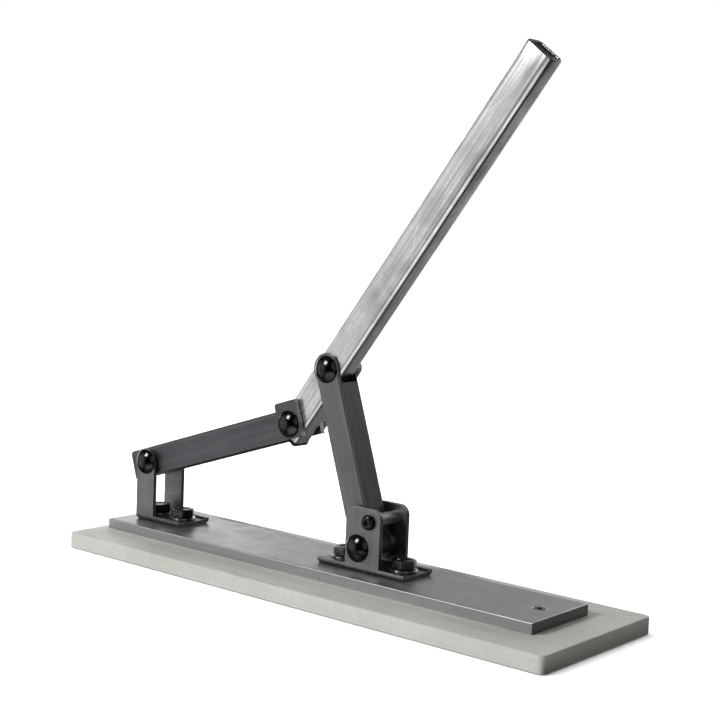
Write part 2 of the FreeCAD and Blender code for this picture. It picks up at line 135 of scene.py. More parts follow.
# ------------------------------------------------------------------ shader helpers
class Paint:
    """A node material around one Principled shader."""

    def __init__(self, name, metallic=0.0, roughness=0.5, **sockets):
        self.material = bpy.data.materials.new(name)
        self.material.use_nodes = True
        self.tree = self.material.node_tree
        self.tree.nodes.clear()
        self.shader = self.add("ShaderNodeBsdfPrincipled")
        out = self.add("ShaderNodeOutputMaterial")
        self.tree.links.new(self.shader.outputs["BSDF"], out.inputs["Surface"])
        self.shader.inputs["Metallic"].default_value = metallic
        self.shader.inputs["Roughness"].default_value = roughness
        for key, value in sockets.items():
            self.shader.inputs[key.replace("_", " ")].default_value = value

    def add(self, kind, **settings):
        item = self.tree.nodes.new(kind)
        for key, value in settings.items():
            setattr(item, key, value)
        return item

    def feed(self, item, key, value):
        if isinstance(value, bpy.types.NodeSocket):
            self.tree.links.new(value, item.inputs[key])
        else:
            item.inputs[key].default_value = value

    def place(self, tilt=0.0, stretch=(1, 1, 1), shift=(0, 0, 0)):
        """Object coordinates turned so that X runs along a member, then stretched."""
        source = self.add("ShaderNodeTexCoord").outputs["Object"]
        turn = self.add("ShaderNodeMapping")
        self.feed(turn, "Vector", source)
        turn.inputs["Rotation"].default_value = (0, tilt, 0)
        scale = self.add("ShaderNodeMapping")
        self.feed(scale, "Vector", turn.outputs["Vector"])
        scale.inputs["Scale"].default_value = stretch
        scale.inputs["Location"].default_value = shift
        return scale.outputs["Vector"]

    def noise(self, where, scale, detail=4.0, rough=0.55, twist=0.0):
        item = self.add("ShaderNodeTexNoise")
        self.feed(item, "Vector", where)
        self.feed(item, "Scale", scale)
        self.feed(item, "Detail", detail)
        self.feed(item, "Roughness", rough)
        self.feed(item, "Distortion", twist)
        return item.outputs["Fac"]

    def cells(self, where, scale, feature="DISTANCE_TO_EDGE"):
        item = self.add("ShaderNodeTexVoronoi", feature=feature)
        self.feed(item, "Vector", where)
        self.feed(item, "Scale", scale)
        return item.outputs["Distance"]

    def span(self, value, low, high, to_low=0.0, to_high=1.0):
        item = self.add("ShaderNodeMapRange")
        self.feed(item, "Value", value)
        for key, number in zip(("From Min", "From Max", "To Min", "To Max"), (low, high, to_low, to_high)):
            self.feed(item, key, number)
        return item.outputs["Result"]

    def sum(self, kind, a, b=0.0):
        item = self.add("ShaderNodeMath", operation=kind)
        self.feed(item, 0, a)
        self.feed(item, 1, b)
        return item.outputs["Value"]

    def blend(self, amount, a, b, kind="MIX"):
        item = self.add("ShaderNodeMix", data_type="RGBA", blend_type=kind)
        self.feed(item, 0, amount)
        for key, value in ((6, a), (7, b)):
            if isinstance(value, bpy.types.NodeSocket):
                self.tree.links.new(value, item.inputs[key])
            else:
                item.inputs[key].default_value = (*value, 1.0)
        return item.outputs[2]

    def facing(self, axis):
        """How far the surface faces one axis, 0 to 1."""
        split = self.add("ShaderNodeSeparateXYZ")
        self.feed(split, "Vector", self.add("ShaderNodeNewGeometry").outputs["True Normal"])
        return self.sum("ABSOLUTE", split.outputs[axis])

    def edge(self, radius, low=0.004, high=0.12):
        """1 along the convex and concave edges of the shape, and the rounded normal there."""
        round_off = self.add("ShaderNodeBevel", samples=6)
        self.feed(round_off, "Radius", radius)
        plain = self.add("ShaderNodeNewGeometry").outputs["Normal"]
        match = self.add("ShaderNodeVectorMath", operation="DOT_PRODUCT")
        self.feed(match, 0, round_off.outputs["Normal"])
        self.feed(match, 1, plain)
        away = self.sum("SUBTRACT", 1.0, match.outputs["Value"])
        return self.span(away, low, high), round_off.outputs["Normal"]

    def bump(self, height, depth, strength=1.0, over=None):
        item = self.add("ShaderNodeBump")
        self.feed(item, "Height", height)
        self.feed(item, "Distance", depth)
        self.feed(item, "Strength", strength)
        if over is not None:
            self.feed(item, "Normal", over)
        return item.outputs["Normal"]

    def finish(self, color=None, roughness=None, normal=None):
        for key, value in (("Base Color", color), ("Roughness", roughness), ("Normal", normal)):
            if value is not None:
                self.feed(self.shader, key, value)
        return self.material


# ------------------------------------------------------------------ materials
def board_plastic():
    """Off-white cutting-board plastic: sawn edges, fine knife scratches, greyed stains, and a painted
    contact shadow along the foot of the end faces.
    """
    p = Paint("board_plastic", roughness=0.5, Specular_IOR_Level=0.35)
    where = p.place()
    cloud = p.noise(where, 14.0, 5.0, 0.6)
    fleck = p.noise(where, 420.0, 3.0, 0.6)
    color = p.blend(p.span(cloud, 0.32, 0.7), (0.560, 0.580, 0.530), (0.700, 0.715, 0.670))
    color = p.blend(p.span(fleck, 0.35, 0.7, 0.0, 0.22), color, (0.42, 0.43, 0.39))
    top = p.span(p.facing("Z"), 0.6, 0.9)
    cuts = None
    for angle, density, seed in ((0.35, 46.0, 0.0), (-0.7, 38.0, 3.1), (1.15, 30.0, 7.7)):
        lie = p.add("ShaderNodeMapping")
        p.feed(lie, "Vector", where)
        lie.inputs["Rotation"].default_value = (0, 0, angle)
        lie.inputs["Scale"].default_value = (0.13, 1.0, 1.0)
        lie.inputs["Location"].default_value = (seed, seed * 0.7, 0)
        line = p.cells(lie.outputs["Vector"], density)
        thin = p.span(line, 0.0, 0.012, 1.0, 0.0)
        gaps = p.span(p.noise(lie.outputs["Vector"], 26.0, 2.0), 0.52, 0.62)
        thin = p.sum("MULTIPLY", thin, gaps)
        cuts = thin if cuts is None else p.sum("MAXIMUM", cuts, thin)
    cuts = p.sum("MULTIPLY", cuts, top)
    color = p.blend(p.sum("MULTIPLY", cuts, 0.45), color, (0.30, 0.31, 0.28))
    split = p.add("ShaderNodeSeparateXYZ")
    p.feed(split, "Vector", where)
    # painted shadow: the bottom 8 mm of the end faces is darkened towards near black as a contact shadow
    # where the board meets the floor
    foot = p.sum("MULTIPLY", p.span(split.outputs["Z"], 0.0, 8.0 * MM, 1.0, 0.0),
                 p.span(p.facing("X"), 0.5, 0.9))
    painted_foot_shadow = p.sum("MULTIPLY", foot, p.span(cloud, 0.3, 0.7, 0.55, 0.95))
    sawn = p.noise(p.place(stretch=(260.0, 260.0, 9.0)), 1.0, 2.0, 0.5)
    side = p.sum("SUBTRACT", 1.0, top)
    drawn = p.noise(p.place(stretch=(5.0, 5.0, 900.0)), 1.0, 3.0, 0.6)
    color = p.blend(p.sum("MULTIPLY", p.span(drawn, 0.45, 0.75), p.sum("MULTIPLY", side, 0.30)),
                    color, (0.47, 0.48, 0.42))
    wear, rounded = p.edge(0.8 * MM)
    color = p.blend(p.sum("MULTIPLY", wear, 0.35), color, (0.74, 0.755, 0.71))
    stain = p.noise(where, 5.5, 3.0, 0.5, 0.6)
    color = p.blend(p.span(stain, 0.55, 0.75, 0.0, 0.25), color, (0.45, 0.46, 0.41))
    # lay the painted contact shadow over the foot of the end faces
    color = p.blend(painted_foot_shadow, color, (0.10, 0.10, 0.08))
    rough = p.span(p.noise(where, 60.0, 4.0), 0.3, 0.7, 0.42, 0.62)
    height = p.sum("ADD", p.sum("MULTIPLY", sawn, p.sum("MULTIPLY", side, 0.5)),
                   p.sum("MULTIPLY", fleck, 0.35))
    height = p.sum("SUBTRACT", height, cuts)
    p.shader.inputs["Subsurface Weight"].default_value = 0.12
    p.shader.inputs["Subsurface Radius"].default_value = (0.006, 0.006, 0.005)
    p.shader.inputs["Subsurface Scale"].default_value = 0.5
    return p.finish(color, rough, p.bump(height, 0.12 * MM, 0.7, rounded))


def metal(name, tilt, light, dark, rough, grain=1.0, blotch=0.5, wave=0.0, worn=None, bevel=0.35,
          streak=(7.0, 900.0, 900.0), speck=0.25, cut_end_painted_light=None, end_shade=None):
    """Drawn or brushed metal: grain along the member, blotches, scratches and worn edges.

    The cut-end colours are the pair of colours of faces square to the member, painted light there: near
    black is painted shade, light is bare sawn metal brightened as a painted highlight. The end shade is
    painted shade that darkens faces square to X.
    """
    p = Paint(name, metallic=1.0, roughness=rough)
    where = p.place(tilt)
    lines = p.noise(p.place(tilt, streak), 1.0, 4.0, 0.62)
    broad = p.noise(p.place(tilt, (3.0, 160.0, 160.0)), 1.0, 3.0, 0.5)
    cloud = p.noise(where, 55.0, 5.0, 0.62, 0.4)
    color = p.blend(p.span(lines, 0.3, 0.72), dark, light)
    color = p.blend(p.span(cloud, 0.38, 0.68, 0.0, blotch), color, dark)
    color = p.blend(p.span(broad, 0.4, 0.7, 0.0, 0.35), color, light)
    dots = p.noise(where, 700.0, 2.0, 0.5)
    color = p.blend(p.span(dots, 0.60, 0.74, 0.0, speck), color, tuple(c * 0.45 for c in dark))
    marks = None
    for angle, seed in ((0.5, 1.3), (-0.35, 5.9)):
        lie = p.add("ShaderNodeMapping")
        p.feed(lie, "Vector", where)
        lie.inputs["Rotation"].default_value = (0, angle, angle)
        lie.inputs["Scale"].default_value = (0.10, 1.0, 1.0)
        lie.inputs["Location"].default_value = (seed, seed, seed)
        line = p.span(p.cells(lie.outputs["Vector"], 70.0), 0.0, 0.010, 1.0, 0.0)
        line = p.sum("MULTIPLY", line, p.span(p.noise(lie.outputs["Vector"], 31.0, 2.0), 0.5, 0.6))
        marks = line if marks is None else p.sum("MAXIMUM", marks, line)
    color = p.blend(p.sum("MULTIPLY", marks, 0.22), color, tuple(min(1.0, c * 1.5) for c in light))
    wear, rounded = p.edge(bevel * MM)
    worn = worn or tuple(min(1.0, c * 1.6 + 0.05) for c in light)
    ragged = p.span(p.noise(where, 260.0, 3.0), 0.3, 0.6, 0.35, 1.0)
    color = p.blend(p.sum("MULTIPLY", p.sum("MULTIPLY", wear, ragged), 0.7), color, worn)
    # painted light on faces square to the member: the handle's near-black end is painted shade, the arm's
    # light end is bare sawn steel brightened as a painted highlight
    if cut_end_painted_light:
        facing = p.add("ShaderNodeVectorMath", operation="DOT_PRODUCT")
        p.feed(facing, 0, p.add("ShaderNodeNewGeometry").outputs["True Normal"])
        p.feed(facing, 1, (math.cos(tilt), 0.0, math.sin(tilt)))
        end_facing = p.span(p.sum("ABSOLUTE", facing.outputs["Value"]), 0.90, 0.96)
        kerf = p.noise(p.place(tilt, (900.0, 30.0, 900.0)), 1.0, 2.0)
        color = p.blend(end_facing, color, p.blend(p.span(kerf, 0.3, 0.7), *cut_end_painted_light))
    # painted shade: faces square to X are darkened towards the given tone
    if end_shade:
        color = p.blend(p.span(p.facing("X"), 0.85, 0.97, 0.0, 0.8), color, end_shade)
    gloss = p.span(lines, 0.25, 0.75, rough - 0.07, rough + 0.09)
    gloss = p.sum("ADD", gloss, p.span(cloud, 0.3, 0.7, -0.04, 0.06))
    gloss = p.sum("SUBTRACT", gloss, p.sum("MULTIPLY", wear, 0.08))
    height = p.sum("SUBTRACT", p.sum("MULTIPLY", lines, grain), p.sum("MULTIPLY", marks, 0.35))
    if cut_end_painted_light:
        height = p.sum("MULTIPLY", height, p.sum("SUBTRACT", 1.0, end_facing))
    normal = p.bump(height, 0.02 * MM, 1.0, rounded)
    if wave:
        ripple = p.noise(p.place(tilt, (22.0, 60.0, 60.0)), 1.0, 2.0, 0.5)
        normal = p.bump(ripple, wave * MM, 1.0, normal)
    return p.finish(color, gloss, normal)


def polished(name, light, dark, rough):
    """Turned and polished fastener metal: faint rings, smudges and small nicks."""
    p = Paint(name, metallic=1.0, roughness=rough)
    where = p.place()
    smudge = p.noise(where, 240.0, 4.0, 0.6, 0.5)
    fine = p.noise(where, 1900.0, 2.0)
    color = p.blend(p.span(smudge, 0.3, 0.7), dark, light)
    color = p.blend(p.span(fine, 0.58, 0.72, 0.0, 0.35), color, tuple(c * 0.5 for c in dark))
    wear, rounded = p.edge(0.25 * MM)
    color = p.blend(p.sum("MULTIPLY", wear, 0.4), color, tuple(min(1.0, c * 2.2 + 0.04) for c in light))
    gloss = p.span(smudge, 0.3, 0.75, rough - 0.03, rough + 0.10)
    height = p.sum("ADD", smudge, p.sum("MULTIPLY", fine, 0.3))
    return p.finish(color, gloss, p.bump(height, 0.012 * MM, 0.8, rounded))


def black_plastic():
    """Moulded black plastic with a fine spark-eroded grain and rubbed edges."""
    p = Paint("black_plastic", roughness=0.5, Specular_IOR_Level=0.12)
    where = p.place()
    grain = p.noise(where, 1500.0, 3.0, 0.6)
    cloud = p.noise(where, 130.0, 3.0)
    color = p.blend(p.span(cloud, 0.3, 0.7), (0.006, 0.006, 0.0065), (0.016, 0.016, 0.017))
    wear, rounded = p.edge(0.5 * MM)
    color = p.blend(p.sum("MULTIPLY", wear, 0.15), color, (0.045, 0.045, 0.047))
    rough = p.span(grain, 0.3, 0.7, 0.50, 0.66)
    return p.finish(color, rough, p.bump(grain, 0.008 * MM, 0.8, rounded))


def nylon():
    """Off-white locking ring inside a nut."""
    p = Paint("nylon_ring", roughness=0.45)
    where = p.place()
    cloud = p.noise(where, 500.0, 3.0)
    color = p.blend(p.span(cloud, 0.3, 0.7), (0.50, 0.50, 0.46), (0.66, 0.66, 0.62))
    return p.finish(color, p.span(cloud, 0.3, 0.7, 0.4, 0.55), p.bump(cloud, 0.03 * MM, 0.6))


BOARD = board_plastic()
# the plate's end faces get painted shade, darkened nearly to black
PLATE = metal("plate_drawn", 0.0, (0.44, 0.45, 0.45), (0.30, 0.31, 0.31), 0.40, 0.8, 0.45,
              end_shade=(0.10, 0.10, 0.095))
BRACKET = metal("bracket_steel", 0.0, (0.21, 0.21, 0.22), (0.13, 0.13, 0.14), 0.42, 0.5, 0.5,
                streak=(300.0, 300.0, 12.0))
# the arm's light cut end is bare sawn steel, partly a painted highlight
ARM = metal("arm_steel", ARM_TILT, (0.120, 0.123, 0.130), (0.070, 0.072, 0.078), 0.46, 0.6, 0.5,
            worn=(0.30, 0.30, 0.31), cut_end_painted_light=((0.42, 0.42, 0.43), (0.62, 0.62, 0.62)))
LINK = metal("link_steel", LINK_TILT, (0.175, 0.175, 0.180), (0.104, 0.104, 0.109), 0.38, 0.6, 0.5)
# the handle's near-black cut end is painted shade
HANDLE = metal("handle_brushed", HANDLE_TILT, (0.72, 0.72, 0.73), (0.28, 0.285, 0.295), 0.26, 1.0,
               0.95, 0.8, bevel=0.3, cut_end_painted_light=((0.008, 0.008, 0.008), (0.016, 0.016, 0.016)))
# painted dark reflection: the polished dome and button heads get a near-black base colour so they read as
# mirroring a dark room
DARKENED_HEAD = polished("bolt_painted_dark", (0.048, 0.048, 0.051), (0.018, 0.018, 0.020), 0.11)
NUT = polished("nut_steel", (0.34, 0.34, 0.35), (0.17, 0.17, 0.18), 0.26)
DARK = polished("screw_dark", (0.10, 0.10, 0.10), (0.035, 0.035, 0.036), 0.32)
SLEEVE = metal("sleeve_turned", 0.0, (0.42, 0.42, 0.43), (0.27, 0.27, 0.28), 0.33, 0.6, 0.4,
               streak=(900.0, 12.0, 900.0))
PLUG = black_plastic()
RING = nylon()


def paint(node, material):
    """Give a CAD node its material."""
    obj = NODES[node]
    if obj.material_slots:
        for entry in obj.material_slots:
            entry.material = material
    else:
        obj.data.materials.append(material)


for node, material in (
        ("base_board", BOARD), ("base_plate", PLATE), ("arm_bracket", BRACKET),
        ("link_bracket", BRACKET), ("bracket_spacers", SLEEVE), ("stop_sleeve", SLEEVE),
        ("arm_channel", ARM), ("arm_hinge_sleeve", SLEEVE), ("link_channel", LINK),
        ("link_foot_sleeve", SLEEVE), ("handle_lower_bush", SLEEVE), ("handle_upper_bush", SLEEVE),
        ("base_plate_screws", DARK), ("bracket_bolts", DARK), ("bracket_washers", NUT),
        ("bracket_pivot_bolts", DARKENED_HEAD), ("bracket_pivot_washers", NUT), ("bracket_pivot_nuts", NUT),
        ("stop_bolt", DARKENED_HEAD), ("stop_nut", NUT), ("arm_tip_bolt", DARKENED_HEAD), ("arm_tip_washer", NUT),
        ("arm_tip_nut", NUT), ("handle_tube", HANDLE), ("handle_end_plug", PLUG),
        ("handle_lower_plug", PLUG), ("link_top_bolt", DARKENED_HEAD), ("link_top_washer", NUT),
        ("link_top_nut", NUT)):
    paint(node, material)


# ------------------------------------------------------------------ mesh helpers
def spin(bm, matrix, rows, steps=72, ring=False, slot=0):
    """Turn rows about the matrix's Z. A row is (radius, height) or a function of the angle."""
    loops = []
    for row in rows:
        loop = []
        for k in range(steps):
            angle = 2 * math.pi * k / steps
            radius, height = row(angle) if callable(row) else row
            loop.append(matrix @ Vector((radius * math.cos(angle), radius * math.sin(angle), height)))
            if not callable(row) and radius < 1e-9:
                break
        loops.append([bm.verts.new(point) for point in loop])
    pairs = list(zip(loops, loops[1:]))
    if ring:
        pairs.append((loops[-1], loops[0]))
    for a, b in pairs:
        for k in range(steps):
            n = (k + 1) % steps
            if len(a) == 1:
                corners = (a[0], b[k], b[n])
            elif len(b) == 1:
                corners = (a[k], b[0], a[n])
            else:
                corners = (a[k], a[n], b[n], b[k])
            bm.faces.new(corners).material_index = slot


def piece(name, bm, body, materials, replaced=(), sharp=32.0):
    """Make an object from a bmesh, smooth it, and hang it on its body."""
    bmesh.ops.recalc_face_normals(bm, faces=bm.faces)
    mesh = bpy.data.meshes.new(name)
    bm.to_mesh(mesh)
    bm.free()
    for material in materials:
        mesh.materials.append(material)
    obj = bpy.data.objects.new(name, mesh)
    bpy.context.scene.collection.objects.link(obj)
    mesh.shade_smooth()
    mesh.set_sharp_from_angle(angle=math.radians(sharp))
    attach(obj, body)
    if replaced:
        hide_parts(*replaced)
    return obj


# ------------------------------------------------------------------ turned fasteners
def hexed(half_flat, ease=0.0):
    """Radius of a hexagon at an angle, with its corners eased a little."""
    def radius(angle):
        turn = (angle % (math.pi / 3)) - math.pi / 6
        return min(half_flat / math.cos(turn), half_flat * (1.1547 - ease))
    return radius


def thread_rows(start, end, radius, pitch, depth):
    """Rows of a helical thread from one height to another, fading in at both ends."""
    count = max(4, int((end - start) / pitch * 8))
    rows = []
    for k in range(count + 1):
        height = start + (end - start) * k / count
        fade = min(1.0, 4.0 * min(k, count - k) / count + 0.15)

        def row(angle, height=height, fade=fade):
            phase = (height / pitch - angle / (2 * math.pi)) % 1.0
            return radius - depth * fade * abs(2 * phase - 1), height
        rows.append(row)
    return rows


def dome_bolt(bm, x, z, apex, face, tail, nut_end, head):
    """Low polished dome head, plain shank, threaded tail with a chamfered tip."""
    at = turned_on_y(x, 0.0, z)
    rim = 0.75 * MM
    rise = face - rim - apex
    ball = (head ** 2 + rise ** 2) / (2 * rise)
    rows = [(0.0, apex)]
    limit = math.asin(head / ball)
    arcs = 14
    for k in range(1, arcs + 1):
        turn = limit * k / arcs
        tuck = 1 if k < arcs else 0.992
        rows.append((ball * math.sin(turn) * tuck, apex + ball * (1 - math.cos(turn))))
    rows += [(head, face - rim + 0.12 * MM), (head, face - 0.15 * MM), (head - 0.15 * MM, face),
             (M8_SHANK, face), (M8_SHANK, nut_end - 1.4 * MM)]
    rows += thread_rows(nut_end - 1.3 * MM, tail - 0.75 * MM, M8_SHANK, M8_PITCH, M8_THREAD)
    rows += [(M8_SHANK - 0.75 * MM, tail - 0.1 * MM), (M8_SHANK - 0.95 * MM, tail),
             (0.0, tail - 0.12 * MM)]
    spin(bm, at, rows, 64)


def flat_washer(bm, at, start, end, outer, bore):
    """Stamped ring: one rounded edge, one with a slight burr."""
    soft = 0.3 * (end - start)
    rows = [(bore, start), (outer - soft, start), (outer - 0.3 * soft, start + 0.3 * soft),
            (outer, start + soft), (outer, end - 0.4 * soft), (outer - 0.4 * soft, end),
            (bore + 0.5 * soft, end), (bore, end - 0.5 * soft)]
    spin(bm, at, rows, 64, ring=True)


def hex_rows(start, end, half, top_ease=True):
    """Hexagon sides whose corners are turned down at the top, as a machined head has them."""
    wide = hexed(half, 0.012)
    turned = half * 0.97

    def lower(angle):
        return wide(angle), start + 0.1 * half

    def upper(angle):
        reach = max(0.0, wide(angle) - turned)
        return wide(angle), end - (reach * 0.577 if top_ease else 0.0)
    return [(half * 0.96, start), lower, upper, (turned, end)]


def lock_nut(bm, x, z, start, end, half, bore):
    """Hexagon lock nut with a rolled collar and its nylon ring."""
    at = turned_on_y(x, 0.0, z)
    body = start + (end - start) * 0.72
    collar = half * 0.86
    lip = 0.5 * MM * half / (6.5 * MM)
    rows = [(bore + 0.4 * MM, start)] + hex_rows(start, body, half)
    rows += [(collar + lip * 0.5, body), (collar, body + lip * 0.5), (collar, end - 1.4 * lip),
             (collar - 0.4 * lip, end - 0.4 * lip), (collar - 1.4 * lip, end), (bore + 1.3 * lip, end),
             (bore + 1.1 * lip, end - 0.6 * lip), (bore + 1.1 * lip, end - 3.6 * lip),
             (bore, end - 4.0 * lip), (bore, start + 0.4 * MM)]
    spin(bm, at, rows, 96, ring=True)
    ring = [(bore + lip, end - 0.7 * lip), (bore - 0.02 * MM, end - 0.9 * lip),
            (bore - 0.02 * MM, end - 3.4 * lip), (bore + lip, end - 3.4 * lip)]
    spin(bm, at, ring, 64, ring=True, slot=1)


def pivot_set(label, points, bolt_node, washer_node, nut_node, body):
    """Visible bolts, washers and nuts of one or more pivots on one body."""
    bolt_low, bolt_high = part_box(bolt_node)
    ring_low, ring_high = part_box(washer_node)
    nut_low, nut_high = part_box(nut_node)
    first = min(points, key=lambda p: p.x)
    head = first.x - bolt_low.x
    outer = first.x - ring_low.x
    lowest = min(points, key=lambda p: p.z)
    half = lowest.z - nut_low.z
    bolts, rings, nuts = bmesh.new(), bmesh.new(), bmesh.new()
    for point in points:
        dome_bolt(bolts, point.x, point.z, bolt_low.y, -ring_low.y, bolt_high.y, nut_high.y, head)
        at = turned_on_y(point.x, 0.0, point.z)
        flat_washer(rings, at, ring_low.y, ring_high.y, outer, M8_WASHER_BORE)
        lock_nut(nuts, point.x, point.z, nut_low.y, nut_high.y, half, M8_NUT_BORE)
    piece(label + "_bolt", bolts, body, [DARKENED_HEAD], [bolt_node])
    piece(label + "_washer", rings, body, [NUT], [washer_node])
    piece(label + "_nut", nuts, body, [NUT, RING], [nut_node])


pivot_set("ground", [PIVOT["arm_hinge"], PIVOT["link_hinge"]], "bracket_pivot_bolts",
          "bracket_pivot_washers", "bracket_pivot_nuts", "base")
pivot_set("tip", [ARM_TIP], "arm_tip_bolt", "arm_tip_washer", "arm_tip_nut", "arm")
pivot_set("top", [LINK_TOP], "link_top_bolt", "link_top_washer", "link_top_nut", "link")


def socket_rows(depth_floor, face, half, head, brow):
    """Rows from the middle of a hexagon socket out to the edge of the head."""
    wide = hexed(half)

    def floor_row(angle):
        return wide(angle), depth_floor

    def mouth(angle):
        return wide(angle), face + (0.25 * MM if depth_floor > face else -0.25 * MM)

    def lip(angle):
        return wide(angle) + 0.25 * MM, face
    return [(0.0, depth_floor), floor_row, mouth, lip, (head - brow, face)]


def make_stop():
    """Button head with a hexagon socket, and a small lock nut."""
    low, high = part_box("stop_bolt")
    nut_low, nut_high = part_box("stop_nut")
    x, z = (low.x + high.x) / 2, (low.z + high.z) / 2
    head = (high.x - low.x) / 2
    face = -nut_low.y
    rise = face - low.y
    brow = 1.9 * MM
    rows = socket_rows(low.y + 1.5 * MM, low.y, SOCKET_HALF, head, brow)
    arcs = 7
    for k in range(1, arcs + 1):
        turn = math.pi / 2 * k / arcs
        rows.append((head - brow + brow * math.sin(turn), low.y + rise * 0.75 * (1 - math.cos(turn))))
    rows += [(head, face - 0.1 * MM), (head - 0.1 * MM, face), (M5_SHANK, face),
             (M5_SHANK, nut_high.y - 1.0 * MM)]
    rows += thread_rows(nut_high.y - 0.9 * MM, high.y - 0.4 * MM, M5_SHANK, M5_PITCH, M5_THREAD)
    rows += [(1.9 * MM, high.y), (0.0, high.y)]
    bm = bmesh.new()
    spin(bm, turned_on_y(x, 0.0, z), rows, 60)
    piece("stop_button", bm, "base", [DARKENED_HEAD], ["stop_bolt"])
    bm = bmesh.new()
    lock_nut(bm, x, z, nut_low.y, nut_high.y, (nut_high.z - nut_low.z) / 2, M5_NUT_BORE)
    piece("stop_lock_nut", bm, "base", [NUT, RING], ["stop_nut"])


make_stop()


def make_bracket_fasteners():
    """Hexagon bolts standing on washers, with turned-down corners and a shallow dished top."""
    bolts, rings = bmesh.new(), bmesh.new()
    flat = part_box("bracket_washers")
    washers = groups("bracket_washers")
    for number, (low, high) in enumerate(groups("bracket_bolts")):
        x = (low.x + high.x) / 2
        turn = 0.35 + 0.9 * number
        at = Matrix.Translation((x, 0, 0)) @ Matrix.Rotation(turn, 4, "Z")
        half = (high.y - low.y) / 2
        under = flat[1].z
        rows = [(0.0, low.z), (2.2 * MM, low.z), (M8_SHANK, low.z + 2.5 * MM),
                (M8_SHANK, under), (half * 0.9, under), (half * 0.9, under + 0.3 * MM)]
        rows += hex_rows(under + 0.3 * MM, high.z, half)
        rows += [(half * 0.62, high.z), (half * 0.52, high.z - 0.45 * MM), (0.0, high.z - 0.5 * MM)]
        spin(bolts, at, rows, 96)
        flat_washer(rings, at, flat[0].z, under, x - washers[number][0].x, M8_WASHER_BORE)
    piece("bracket_hex_bolts", bolts, "base", [DARK], ["bracket_bolts"])
    piece("bracket_flat_washers", rings, "base", [NUT], ["bracket_washers"])


make_bracket_fasteners()


def make_plate_screws():
    """Countersunk screws with a hexagon socket, set level with the plate."""
    bm = bmesh.new()
    for low, high in groups("base_plate_screws"):
        x, head = (low.x + high.x) / 2, (high.x - low.x) / 2
        top = high.z - 0.05 * MM
        rows = socket_rows(top - 1.3 * MM, top, SOCKET_HALF, head, 0.35 * MM)
        rows += [(head, top - 0.2 * MM), (2.0 * MM, top - 2.25 * MM), (1.95 * MM, low.z + 2 * MM),
                 (0.0, low.z)]
        spin(bm, Matrix.Translation((x, 0, 0)), rows, 60)
    piece("plate_socket_screws", bm, "base", [DARK], ["base_plate_screws"])


make_plate_screws()


# ------------------------------------------------------------------ handle tube
def tube_loop(half_w, half_d, corner, crown, stations):
    """Rounded, slightly crowned rectangle in Y-Z: counts of points per broad face, side and corner."""
    broad, narrow, bend = stations
    points = []
    quarter = [(1, 1), (-1, 1), (-1, -1), (1, -1)]
    for turn, (sy, sz) in enumerate(quarter):
        count = broad if turn % 2 else narrow
        for k in range(bend + 1):
            angle = math.pi / 2 * (turn + k / bend)
            points.append((sy * (half_d - corner) + corner * math.cos(angle),
                           sz * (half_w - corner) + corner * math.sin(angle)))
        nsy, nsz = quarter[(turn + 1) % 4]
        last = points[-1]
        goal = (nsy * (half_d - corner) + corner * math.cos(math.pi / 2 * (turn + 1)),
                nsz * (half_w - corner) + corner * math.sin(math.pi / 2 * (turn + 1)))
        for k in range(1, count):
            t = k / count
            points.append((last[0] + (goal[0] - last[0]) * t, last[1] + (goal[1] - last[1]) * t))
    shaped = []
    for y, z in points:
        shaped.append((y * (1 - crown[0] / half_d * (z / half_w) ** 2),
                       z * (1 - crown[1] / half_w * (y / half_d) ** 2)))
    return shaped


def make_handle():
    """Drawn rectangular tube with soft corners, rolled rim and bolt holes."""
    tip_bore, top_bore = 4.05 * MM, 5.65 * MM
    at = along_x(ARM_TIP, HANDLE_TILT)
    low, high = extent("handle_tube", at)
    half_d, half_w = high.y, high.z
    wall, corner = 2.4 * MM, 2.3 * MM
    stations = (14, 10, 8)
    tip = high.x - 0.02 * MM
    crown = (0.38 * MM, 0.30 * MM)
    rim = 0.8 * MM
    bm = bmesh.new()
    loops = []
    spots = []
    arcs = 5
    for k in range(arcs + 1):
        turn = math.pi / 2 * k / arcs
        spots.append((tip - rim + rim * math.cos(turn), rim * (1 - math.sin(turn)), False))
    steps = 24
    for k in range(1, steps):
        spots.append((tip - rim - (tip - rim - low.x) * k / steps, 0.0, False))
    spots += [(low.x + 0.2 * MM, 0.0, False), (low.x, 0.2 * MM, False), (low.x, 0.0, True),
              (tip - 0.3 * MM, 0.0, True), (tip, -0.3 * MM, True)]
    for x, inset, inside in spots:
        if inside:
            shape = tube_loop(half_w - wall - inset, half_d - wall - inset, 0.6 * MM, (0, 0), stations)
        else:
            shape = tube_loop(half_w - inset, half_d - inset, corner - inset * 0.6, crown, stations)
        loops.append([bm.verts.new(at @ Vector((x, y, z))) for y, z in shape])
    loops.append(loops[0])
    for a, b in zip(loops, loops[1:]):
        for k in range(len(a)):
            n = (k + 1) % len(a)
            bm.faces.new((a[k], a[n], b[n], b[k]))
    tube = piece("handle_grip_tube", bm, "handle", [HANDLE], ["handle_tube"], 40.0)
    for spot, radius in ((ARM_TIP, tip_bore), (LINK_TOP, top_bore)):
        drill = bmesh.new()
        reach = 20 * MM
        rows = [(0.0, -reach), (radius, -reach), (radius, reach), (0.0, reach)]
        spin(drill, turned_on_y(spot.x, 0.0, spot.z), rows, 48)
        bmesh.ops.recalc_face_normals(drill, faces=drill.faces)
        mesh = bpy.data.meshes.new("drill")
        drill.to_mesh(mesh)
        drill.free()
        cutter = bpy.data.objects.new("drill", mesh)
        bpy.context.scene.collection.objects.link(cutter)
        cut = tube.modifiers.new("hole", "BOOLEAN")
        cut.operation = "DIFFERENCE"
        cut.solver = "EXACT"
        cut.object = cutter
        bpy.context.view_layer.update()
        cut_mesh = bpy.data.meshes.new_from_object(
            tube.evaluated_get(bpy.context.evaluated_depsgraph_get()))
        tube.modifiers.clear()
        tube.data = cut_mesh
        bpy.data.objects.remove(cutter)
    tube.data.shade_smooth()
    tube.data.set_sharp_from_angle(angle=math.radians(40))
    tube.data.materials.clear()
    tube.data.materials.append(HANDLE)


make_handle()


